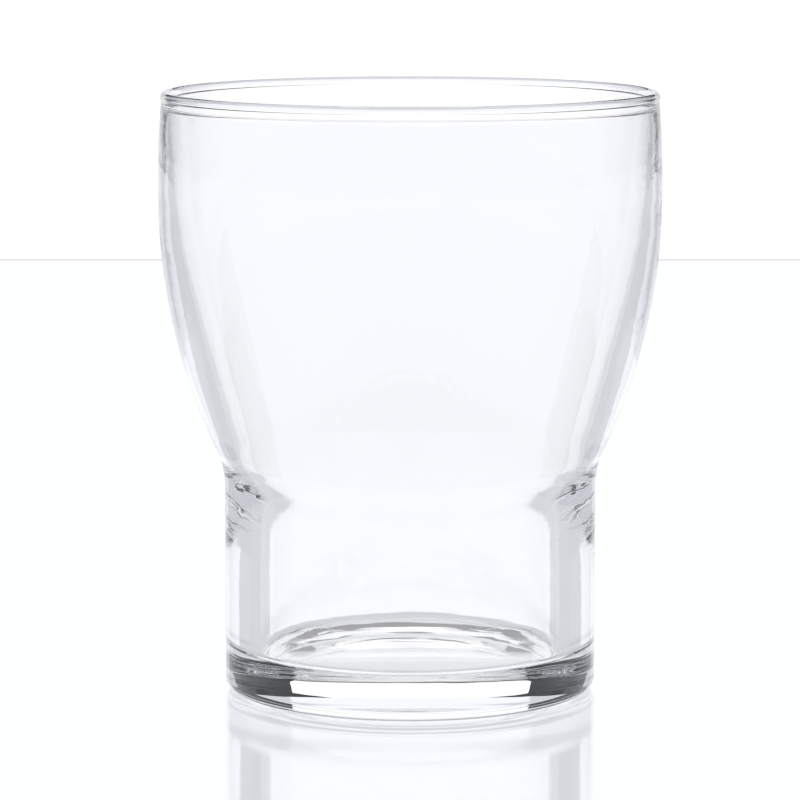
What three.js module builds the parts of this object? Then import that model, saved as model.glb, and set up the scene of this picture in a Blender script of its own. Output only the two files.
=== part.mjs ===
// A mixing glass: one piece of clear pressed glass with a thick base, a straight foot, a
// shoulder that another glass can stack on, and a round bowl with a fire-polished lip.
// Millimetres, +Z up. The origin is the centre of the ring that the glass stands on.
import * as THREE from 'three';

// Outside of the glass
const HEIGHT = 101;
const FOOT_RADIUS = 31.3;
const HEEL_FILLET = 2;
const SHOULDER_FILLET = 15;
const BOWL_RADIUS = 42.2; // at its widest
const BOWL_WIDEST_HEIGHT = 83.5;
const FLARE_CURVE = 101; // radius of the bowl's side below its widest height
const NECK_CURVE = 220; // radius of the side above it

// The lip: a round bead that stands a little proud of the neck
const LIP_RADIUS = 0.95;
const LIP_CREASE_ANGLE = 28; // degrees below level, where the bead meets the neck

// Underside: a flat standing ring round a shallow punt
const STANDING_RING_INNER_RADIUS = 25.5;
const PUNT_HEIGHT = 1.2;

// Inside: the side of the plunger that pressed the glass, as [height, radius] downwards
const INNER_WALL = [
  [98, 40.35],
  [93, 40.25],
  [88, 40.0],
  [82, 39.6],
  [75, 38.75],
  [68, 37.4],
  [61, 35.6],
  [54, 33.5],
  [48, 31.45],
  [43, 29.65],
  [38, 28.05],
  [33, 26.8],
  [26, 25.9],
  [20, 25.6],
  [14, 25.5],
  [8.3, 25.45],
];
const FLOOR_HEIGHT = 7;
const FLOOR_FILLET = 1.3;
const FLOOR_DISH_RADIUS = 20.5;
const FLOOR_DISH_DEPTH = 0.3;

// Faceting
const SIDES = 64;
const CHORD_ERROR = 0.03; // furthest that a chord may stand from its arc
const INNER_WALL_STEPS = 2; // between neighbouring heights
const DISH_STEPS = 4;

const radians = THREE.MathUtils.degToRad;
const degrees = THREE.MathUtils.radToDeg;

/** The point at an angle on a circle, in degrees from outwards towards up. */
function onCircle(centre, radius, angle) {
  const across = radius * Math.cos(radians(angle));
  const up = radius * Math.sin(radians(angle));
  return new THREE.Vector2(centre.x + across, centre.y + up);
}

/** Points along an arc, as many as keep its chords within CHORD_ERROR. */
function arc(centre, radius, from, to) {
  const widestStep = degrees(2 * Math.acos(1 - CHORD_ERROR / radius));
  const steps = Math.ceil(Math.abs(to - from) / widestStep);
  const points = [];
  for (let i = 0; i <= steps; i += 1) {
    points.push(onCircle(centre, radius, from + ((to - from) * i) / steps));
  }
  return points;
}

/** A shallow rise round the axis, from the axis out to its edge. A fall has a negative rise. */
function dished(radius, edgeHeight, rise) {
  const points = [];
  for (let i = 0; i <= DISH_STEPS; i += 1) {
    const part = i / DISH_STEPS;
    points.push(new THREE.Vector2(radius * part, edgeHeight + rise * (1 - part ** 2)));
  }
  return points;
}

/** The outside, from the standing ring up to the inner edge of the lip. */
function outerOutline() {
  const heel = new THREE.Vector2(FOOT_RADIUS - HEEL_FILLET, HEEL_FILLET);
  const flare = new THREE.Vector2(BOWL_RADIUS - FLARE_CURVE, BOWL_WIDEST_HEIGHT);
  const neck = new THREE.Vector2(BOWL_RADIUS - NECK_CURVE, BOWL_WIDEST_HEIGHT);

  // The shoulder fillet touches the straight foot and the flare.
  const reach = FLARE_CURVE + SHOULDER_FILLET;
  const across = FOOT_RADIUS + SHOULDER_FILLET - flare.x;
  const slope = degrees(Math.acos(across / reach));
  const shoulder = new THREE.Vector2(
    FOOT_RADIUS + SHOULDER_FILLET,
    BOWL_WIDEST_HEIGHT - Math.sqrt(reach ** 2 - across ** 2),
  );

  const creaseHeight = HEIGHT - LIP_RADIUS * (1 + Math.sin(radians(LIP_CREASE_ANGLE)));
  const neckTop = degrees(Math.asin((creaseHeight - BOWL_WIDEST_HEIGHT) / NECK_CURVE));
  const crease = onCircle(neck, NECK_CURVE, neckTop);
  const lip = onCircle(crease, LIP_RADIUS, 180 - LIP_CREASE_ANGLE);

  return [
    ...arc(heel, HEEL_FILLET, -90, 0),
    ...arc(shoulder, SHOULDER_FILLET, 180, 180 - slope),
    ...arc(flare, FLARE_CURVE, -slope, 0).slice(1),
    ...arc(neck, NECK_CURVE, 0, neckTop).slice(1),
    ...arc(lip, LIP_RADIUS, -LIP_CREASE_ANGLE, 180).slice(1),
  ];
}

/** The inner wall, from just under the lip down to the edge of the floor. */
function innerOutline() {
  const heights = INNER_WALL.map(([height, radius]) => new THREE.Vector2(radius, height));
  const spans = heights.length - 1;
  const wall = new THREE.SplineCurve(heights).getPoints(spans * INNER_WALL_STEPS);

  const wallFoot = heights[spans];
  const corner = new THREE.Vector2(wallFoot.x - FLOOR_FILLET, FLOOR_HEIGHT + FLOOR_FILLET);
  return [...wall.slice(0, -1), ...arc(corner, FLOOR_FILLET, 0, -90)];
}

/** The whole section, from the axis under the base round to the axis on the floor. */
function glassOutline() {
  return [
    ...dished(STANDING_RING_INNER_RADIUS, 0, PUNT_HEIGHT),
    ...outerOutline(),
    ...innerOutline(),
    ...dished(FLOOR_DISH_RADIUS, FLOOR_HEIGHT, -FLOOR_DISH_DEPTH).reverse(),
  ];
}

/** The turned glass body, stood up along Z. */
function glassBody() {
  const geometry = new THREE.LatheGeometry(glassOutline(), SIDES);
  geometry.rotateX(Math.PI / 2);
  const clearGlass = new THREE.MeshStandardMaterial({
    color: 0xf1f5f7,
    roughness: 0.02,
    metalness: 0,
    transparent: true,
    opacity: 0.35,
  });
  const mesh = new THREE.Mesh(geometry, clearGlass);
  mesh.name = 'glass_body';
  return mesh;
}

const mixingGlass = new THREE.Group();
mixingGlass.add(glassBody());

export default mixingGlass;
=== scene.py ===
"""Studio picture of a clear pressed mixing glass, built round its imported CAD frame.

The glass is one turned piece, made again here with a fine, smooth surface in place of the faceted
CAD solid. Metres, +Z up, the glass standing on z = 0 with its axis on the Z axis. The camera looks
along +Y and a little down.
"""

import math

import bpy
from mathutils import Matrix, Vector


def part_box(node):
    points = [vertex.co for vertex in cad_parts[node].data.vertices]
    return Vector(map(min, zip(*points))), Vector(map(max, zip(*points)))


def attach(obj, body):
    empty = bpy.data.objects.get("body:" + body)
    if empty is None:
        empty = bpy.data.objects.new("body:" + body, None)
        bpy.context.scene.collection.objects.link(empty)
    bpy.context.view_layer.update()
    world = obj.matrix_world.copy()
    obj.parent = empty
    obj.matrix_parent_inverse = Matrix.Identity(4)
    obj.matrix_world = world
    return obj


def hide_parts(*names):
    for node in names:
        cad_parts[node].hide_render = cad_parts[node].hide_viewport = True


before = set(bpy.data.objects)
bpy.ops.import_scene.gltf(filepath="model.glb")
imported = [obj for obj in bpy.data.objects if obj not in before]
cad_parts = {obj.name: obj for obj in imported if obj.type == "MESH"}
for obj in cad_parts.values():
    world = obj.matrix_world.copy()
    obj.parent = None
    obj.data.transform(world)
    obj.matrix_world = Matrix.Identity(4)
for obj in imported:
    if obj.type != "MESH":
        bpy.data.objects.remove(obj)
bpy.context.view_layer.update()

# ---------------------------------------------------------------- sizes of the glass
GLASS = "glass_body"
lowest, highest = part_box(GLASS)
HEIGHT = highest.z
BOWL_RADIUS = highest.x

# Outside
FOOT_RADIUS = 0.0313
HEEL_FILLET = 0.002
SHOULDER_FILLET = 0.015
BOWL_WIDEST_HEIGHT = 0.0835
FLARE_CURVE = 0.101  # radius of the bowl's side below its widest height
NECK_CURVE = 0.220  # radius of the side above it

# The lip: a round bead that stands a little proud of the neck
LIP_RADIUS = 0.00095
LIP_CREASE_ANGLE = 28  # degrees below level, where the bead meets the neck

# Underside
STANDING_RING_INNER_RADIUS = 0.0255
PUNT_HEIGHT = 0.0012

# Inside: heights and radii that the plunger's side passes through, from the mouth down
INNER_WALL = [
    (0.0980, 0.04035),
    (0.0930, 0.04025),
    (0.0880, 0.04000),
    (0.0820, 0.03960),
    (0.0750, 0.03875),
    (0.0680, 0.03740),
    (0.0610, 0.03560),
    (0.0540, 0.03350),
    (0.0480, 0.03145),
    (0.0430, 0.02965),
    (0.0380, 0.02805),
    (0.0330, 0.02680),
    (0.0260, 0.02590),
    (0.0200, 0.02560),
    (0.0140, 0.02550),
    (0.0083, 0.02545),
]
FLOOR_HEIGHT = 0.0070
FLOOR_FILLET = 0.0013
FLOOR_DISH_RADIUS = 0.0205
FLOOR_DISH_DEPTH = 0.0003

# Smoothness
SIDES = 384
CHORD_ERROR = 0.000002
INNER_WALL_STEPS = 24  # between neighbouring heights
DISH_STEPS = 24

# ---------------------------------------------------------------- look of the glass
GLASS_IOR = 1.52
TINT = (0.91, 0.93, 0.96, 1)
TINT_DENSITY = 4  # per metre of glass
STREAK_SCALE = 60
STREAK_STRETCH = (1, 1, 4)  # flattens the ripple into streaks that run round the glass
STREAK_DETAIL = 2
RIPPLE_HEIGHT = 0.00003

# ---------------------------------------------------------------- light in the studio
COOL = (0.93, 0.95, 1.0)

# The floor: one pale colour all over, softly polished
FLOOR_TONE = 0.70
FLOOR_POLISH = (0.32, 0.32, 0.32, 1)
FLOOR_ROUGHNESS = 0.08
FLOOR_HALF_SIZE = 3
FLOOR_LEVEL = -0.0002

# The low softbox behind the glass, which stands on the floor
BACKDROP_LIGHT = 1.08
BACKDROP_COLOUR = (0.985, 0.988, 1.0)
BACKDROP_DISTANCE = 0.7
BACKDROP_HALF_WIDTH = 0.36
BACKDROP_HALF_HEIGHT = 0.115

# The wide softbox overhead
OVERHEAD_LIGHT = 1.1
OVERHEAD_COLOUR = (1, 1, 1)
OVERHEAD_CENTRE = (0, 0.26, 1.2)
OVERHEAD_HALF_WIDTH = 1.1
OVERHEAD_HALF_DEPTH = 0.59

# The walls: a low one far behind the backdrop, and a tall one round the sides and the front
ROOM_LIGHT = 0.62
ROOM_RADIUS = 1.5
ROOM_WALL_FULL_HEIGHT = 0.95  # where the tall wall starts to fade
ROOM_WALL_TOP = 1.25  # where it is dark
ROOM_WALL_START = 65  # degrees clockwise from straight behind
ROOM_WALL_END = 295
FAR_WALL_RADIUS = 1.55
FAR_WALL_TOP = 0.08
FAR_WALL_REACH = 66  # degrees to each side of straight behind
WALL_FOOT = -0.01
WALL_SIDES = 96

DARK_LIGHT = 0.004

# ---------------------------------------------------------------- the camera
CAMERA_DISTANCE = 0.683
CAMERA_HEIGHT = 0.1436
CAMERA_PITCH = 7.9  # degrees down
CAMERA_ASIDE = -0.0017
LENS = 184  # millimetres
NEAREST_SEEN = 0.01
LIGHT_BOUNCES = 64


# ---------------------------------------------------------------- the section
def on_circle(centre, radius, angle):
    """The point at an angle on a circle, in degrees from outwards towards up."""
    turn = math.radians(angle)
    return centre[0] + radius * math.cos(turn), centre[1] + radius * math.sin(turn)


def arc(centre, radius, start, end):
    """Points along an arc, as many as keep its chords within CHORD_ERROR."""
    widest_step = math.degrees(2 * math.acos(1 - CHORD_ERROR / radius))
    steps = math.ceil(abs(end - start) / widest_step)
    return [on_circle(centre, radius, start + (end - start) * i / steps) for i in range(steps + 1)]


def dished(radius, edge_height, rise):
    """A shallow rise round the axis, from the axis out to its edge. A fall has a negative rise."""
    parts = [step / DISH_STEPS for step in range(DISH_STEPS + 1)]
    return [(radius * part, edge_height + rise * (1 - part**2)) for part in parts]


def catmull_rom(before, start, end, after, t):
    """A point of the smooth curve from start to end."""
    point = []
    for a, b, c, d in zip(before, start, end, after):
        leave = (c - a) / 2
        arrive = (d - b) / 2
        cubic = (2 * b - 2 * c + leave + arrive) * t**3
        square = (-3 * b + 3 * c - 2 * leave - arrive) * t**2
        point.append(cubic + square + leave * t + b)
    return tuple(point)


def smooth_curve(points, steps):
    """A curve through every point, with this many steps between neighbours."""
    curve = []
    for i in range(len(points) - 1):
        before = points[max(i - 1, 0)]
        after = points[min(i + 2, len(points) - 1)]
        for step in range(steps):
            curve.append(catmull_rom(before, points[i], points[i + 1], after, step / steps))
    return curve + [points[-1]]


def outer_outline():
    """The outside, from the standing ring up to the inner edge of the lip."""
    heel = (FOOT_RADIUS - HEEL_FILLET, HEEL_FILLET)
    flare = (BOWL_RADIUS - FLARE_CURVE, BOWL_WIDEST_HEIGHT)
    neck = (BOWL_RADIUS - NECK_CURVE, BOWL_WIDEST_HEIGHT)

    # The shoulder fillet touches the straight foot and the flare.
    reach = FLARE_CURVE + SHOULDER_FILLET
    across = FOOT_RADIUS + SHOULDER_FILLET - flare[0]
    slope = math.degrees(math.acos(across / reach))
    shoulder = (FOOT_RADIUS + SHOULDER_FILLET, BOWL_WIDEST_HEIGHT - math.sqrt(reach**2 - across**2))

    crease_height = HEIGHT - LIP_RADIUS * (1 + math.sin(math.radians(LIP_CREASE_ANGLE)))
    neck_top = math.degrees(math.asin((crease_height - BOWL_WIDEST_HEIGHT) / NECK_CURVE))
    crease = on_circle(neck, NECK_CURVE, neck_top)
    lip = on_circle(crease, LIP_RADIUS, 180 - LIP_CREASE_ANGLE)

    wall = arc(heel, HEEL_FILLET, -90, 0)
    wall += arc(shoulder, SHOULDER_FILLET, 180, 180 - slope)
    wall += arc(flare, FLARE_CURVE, -slope, 0)[1:]
    wall += arc(neck, NECK_CURVE, 0, neck_top)[1:]
    return wall + arc(lip, LIP_RADIUS, -LIP_CREASE_ANGLE, 180)[1:]


def inner_outline():
    """The inner wall, from just under the lip down to the edge of the floor."""
    stations = [(radius, height) for height, radius in INNER_WALL]
    wall = smooth_curve(stations, INNER_WALL_STEPS)
    corner = (stations[-1][0] - FLOOR_FILLET, FLOOR_HEIGHT + FLOOR_FILLET)
    return wall[:-1] + arc(corner, FLOOR_FILLET, 0, -90)


def glass_outline():
    """The whole section, from the axis under the base round to the axis on the floor."""
    punt = dished(STANDING_RING_INNER_RADIUS, 0, PUNT_HEIGHT)
    floor = dished(FLOOR_DISH_RADIUS, FLOOR_HEIGHT, -FLOOR_DISH_DEPTH)
    return punt + outer_outline() + inner_outline() + floor[::-1]


# ---------------------------------------------------------------- meshes
def new_object(name, vertices, faces):
    """An object with this mesh, in the scene."""
    mesh = bpy.data.meshes.new(name)
    mesh.from_pydata(vertices, [], faces)
    made = bpy.data.objects.new(name, mesh)
    bpy.context.scene.collection.objects.link(made)
    return made


def turned_solid(name, outline, sides):
    """A smooth closed solid of revolution about Z. The outline starts and ends on the axis."""
    vertices = [(0, 0, outline[0][1])]
    for radius, height in outline[1:-1]:
        for side in range(sides):
            turn = 2 * math.pi * side / sides
            vertices.append((radius * math.cos(turn), radius * math.sin(turn), height))
    vertices.append((0, 0, outline[-1][1]))

    faces = []
    last = len(vertices) - 1
    top = last - sides
    for side in range(sides):
        following = (side + 1) % sides
        faces.append((0, 1 + following, 1 + side))
        for low in range(1, top, sides):
            high = low + sides
            faces.append((low + side, low + following, high + following, high + side))
        faces.append((top + side, top + following, last))

    solid = new_object(name, vertices, faces)
    solid.data.shade_smooth()
    return solid


def staged(name, vertices, faces, material):
    """A studio surface, which isn't part of the glass."""
    surface = new_object(name, vertices, faces)
    surface.data.materials.append(material)
    return surface


def panel(name, centre, right, up, material):
    """A flat rectangle given by its centre and two half-sides."""
    centre, right, up = Vector(centre), Vector(right), Vector(up)
    corners = [centre - right - up, centre + right - up, centre + right + up, centre - right + up]
    return staged(name, corners, [(0, 1, 2, 3)], material)


def surround(name, radius, top, first, last, material):
    """A round wall, from one heading to another in degrees clockwise from straight behind."""
    vertices = []
    for side in range(WALL_SIDES + 1):
        turn = math.radians(first + (last - first) * side / WALL_SIDES)
        for height in (WALL_FOOT, top):
            vertices.append((radius * math.sin(turn), radius * math.cos(turn), height))
    faces = [(low, low + 2, low + 3, low + 1) for low in range(0, 2 * WALL_SIDES, 2)]
    return staged(name, vertices, faces, material)


# ---------------------------------------------------------------- materials
def new_material(name):
    """An empty node material: the material, its tree and its output node."""
    material = bpy.data.materials.new(name)
    material.use_nodes = True
    tree = material.node_tree
    tree.nodes.clear()
    return material, tree, tree.nodes.new("ShaderNodeOutputMaterial")


def place_on_object(tree):
    """Where a point is on its object."""
    return tree.nodes.new("ShaderNodeTexCoord").outputs["Object"]


def light_shader(tree, strength, colour):
    """A surface that gives off its own light, the same all over."""
    light = tree.nodes.new("ShaderNodeEmission")
    light.inputs["Color"].default_value = (*colour, 1)
    light.inputs["Strength"].default_value = strength
    return light


def cast_ripple(tree):
    """The soft streaks that the mould leaves in pressed glass, as a normal."""
    streaks = tree.nodes.new("ShaderNodeMapping")
    streaks.inputs["Scale"].default_value = STREAK_STRETCH
    tree.links.new(place_on_object(tree), streaks.inputs["Vector"])
    waves = tree.nodes.new("ShaderNodeTexNoise")
    waves.inputs["Scale"].default_value = STREAK_SCALE
    waves.inputs["Detail"].default_value = STREAK_DETAIL
    tree.links.new(streaks.outputs["Vector"], waves.inputs["Vector"])
    ripple = tree.nodes.new("ShaderNodeBump")
    ripple.inputs["Distance"].default_value = RIPPLE_HEIGHT
    tree.links.new(waves.outputs["Fac"], ripple.inputs["Height"])
    return ripple.outputs["Normal"]


def clear_glass():
    """Clear soda-lime glass with a trace of blue and the soft ripple of a pressed surface."""
    material, tree, output = new_material("clear_glass")
    glass = tree.nodes.new("ShaderNodeBsdfPrincipled")
    glass.inputs["Base Color"].default_value = (1, 1, 1, 1)
    glass.inputs["Roughness"].default_value = 0
    glass.inputs["IOR"].default_value = GLASS_IOR
    glass.inputs["Transmission Weight"].default_value = 1
    tree.links.new(cast_ripple(tree), glass.inputs["Normal"])
    tint = tree.nodes.new("ShaderNodeVolumeAbsorption")
    tint.inputs["Color"].default_value = TINT
    tint.inputs["Density"].default_value = TINT_DENSITY
    tree.links.new(glass.outputs[0], output.inputs["Surface"])
    tree.links.new(tint.outputs[0], output.inputs["Volume"])
    return material


def glow(name, strength, colour):
    """An evenly lit surface, such as a softbox's cloth."""
    material, tree, output = new_material(name)
    light = light_shader(tree, strength, colour)
    tree.links.new(light.outputs[0], output.inputs["Surface"])
    return material


def fading_wall():
    """A pale wall that fades smoothly to dark towards its top."""
    material, tree, output = new_material("room_light")
    parts = tree.nodes.new("ShaderNodeSeparateXYZ")
    tree.links.new(place_on_object(tree), parts.inputs[0])
    fade = tree.nodes.new("ShaderNodeMapRange")
    fade.interpolation_type = "SMOOTHSTEP"
    fade.inputs["From Min"].default_value = ROOM_WALL_FULL_HEIGHT
    fade.inputs["From Max"].default_value = ROOM_WALL_TOP
    fade.inputs["To Min"].default_value = ROOM_LIGHT
    fade.inputs["To Max"].default_value = 0
    tree.links.new(parts.outputs["Z"], fade.inputs["Value"])
    light = light_shader(tree, ROOM_LIGHT, COOL)
    tree.links.new(fade.outputs["Result"], light.inputs["Strength"])
    tree.links.new(light.outputs[0], output.inputs["Surface"])
    return material


def plain_floor():
    """A pale, softly polished floor, the same all over."""
    material, tree, output = new_material("plain_floor")
    light = light_shader(tree, FLOOR_TONE, COOL)
    polish = tree.nodes.new("ShaderNodeBsdfGlossy")
    polish.inputs["Color"].default_value = FLOOR_POLISH
    polish.inputs["Roughness"].default_value = FLOOR_ROUGHNESS
    both = tree.nodes.new("ShaderNodeAddShader")
    tree.links.new(light.outputs[0], both.inputs[0])
    tree.links.new(polish.outputs[0], both.inputs[1])
    tree.links.new(both.outputs[0], output.inputs["Surface"])
    return material


# ---------------------------------------------------------------- the studio
def ground():
    """One plain floor, which the camera and the glass both see."""
    half = FLOOR_HALF_SIZE
    panel("floor", (0, 0, FLOOR_LEVEL), (half, 0, 0), (0, half, 0), plain_floor())


def softboxes():
    """A low one behind the glass and a wide one overhead."""
    middle = (0, BACKDROP_DISTANCE, BACKDROP_HALF_HEIGHT)
    backdrop = glow("backdrop_light", BACKDROP_LIGHT, BACKDROP_COLOUR)
    panel("backdrop", middle, (BACKDROP_HALF_WIDTH, 0, 0), (0, 0, BACKDROP_HALF_HEIGHT), backdrop)

    overhead = glow("overhead_light", OVERHEAD_LIGHT, OVERHEAD_COLOUR)
    right, back = (OVERHEAD_HALF_WIDTH, 0, 0), (0, OVERHEAD_HALF_DEPTH, 0)
    panel("overhead", OVERHEAD_CENTRE, right, back, overhead)


def walls():
    """A low pale wall far behind, and a tall one round the rest that fades to dark."""
    far_light = glow("far_light", ROOM_LIGHT, COOL)
    surround("far_wall", FAR_WALL_RADIUS, FAR_WALL_TOP, -FAR_WALL_REACH, FAR_WALL_REACH, far_light)
    tall_light = fading_wall()
    surround("room_wall", ROOM_RADIUS, ROOM_WALL_TOP, ROOM_WALL_START, ROOM_WALL_END, tall_light)


def darkness():
    """The little light that comes from everywhere else."""
    world = bpy.data.worlds.new("studio_dark")
    world.use_nodes = True
    background = world.node_tree.nodes["Background"]
    background.inputs["Color"].default_value = (*COOL, 1)
    background.inputs["Strength"].default_value = DARK_LIGHT
    bpy.context.scene.world = world


def camera():
    """A long lens in front of the glass, looking a little down on it."""
    lens = bpy.data.cameras.new("camera")
    lens.lens = LENS
    lens.clip_start = NEAREST_SEEN
    eye = bpy.data.objects.new("camera", lens)
    eye.location = (CAMERA_ASIDE, -CAMERA_DISTANCE, CAMERA_HEIGHT)
    eye.rotation_euler = (math.radians(90 - CAMERA_PITCH), 0, 0)
    bpy.context.scene.collection.objects.link(eye)
    bpy.context.scene.camera = eye


# ---------------------------------------------------------------- the picture
glass = turned_solid("mixing_glass", glass_outline(), SIDES)
glass.data.materials.append(clear_glass())
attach(glass, "root")
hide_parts(GLASS)

ground()
softboxes()
walls()
darkness()
camera()

scene = bpy.context.scene
scene.view_settings.view_transform = "Standard"
scene.cycles.max_bounces = LIGHT_BOUNCES
scene.cycles.transmission_bounces = LIGHT_BOUNCES
scene.cycles.glossy_bounces = LIGHT_BOUNCES
